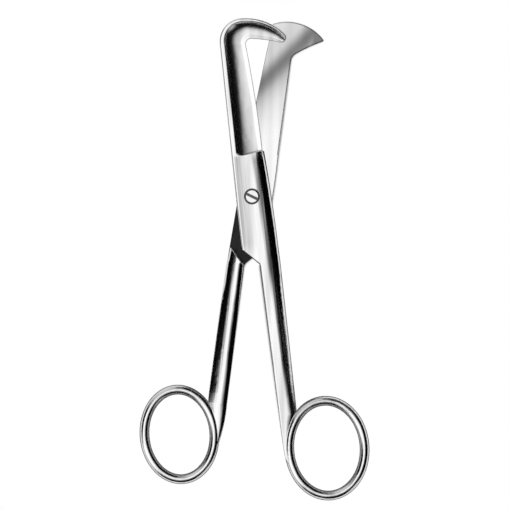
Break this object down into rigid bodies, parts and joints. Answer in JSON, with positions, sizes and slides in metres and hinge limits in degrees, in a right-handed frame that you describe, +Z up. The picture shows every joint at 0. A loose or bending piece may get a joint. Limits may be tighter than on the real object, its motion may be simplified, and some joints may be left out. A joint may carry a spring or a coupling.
{
  "type": "umbilical cord scissors",
  "caption": "Umbilical cord scissors with a hooked, hollow-ground jaw closing against a hatchet-headed blade, ring handles and a slotted pivot screw.",
  "frame": {"origin": "pivot axis at the flat underside of the joint, on which the scissors lie", "axes": "+Y along the instrument from the pivot to the jaws, +Z up out of the face that the picture shows, +X to the side of the hook lever's ring"},
  "size_m": [0.0751, 0.1575, 0.0052],
  "materials": {
    "polished_steel": "polished",
    "screw_steel": "polished"
  },
  "bodies": {
    "blade_half": {"blade_lever": "polished_steel", "pivot_screw": "screw_steel"},
    "hook_half": {"hook_lever": "polished_steel"}
  },
  "joints": [
    {"name": "pivot", "type": "hinge", "parent": "blade_half", "child": "hook_half", "pos_m": [0, 0, 0], "axis": [0, 0, 1], "range_deg": [-12, 75]}
  ]
}
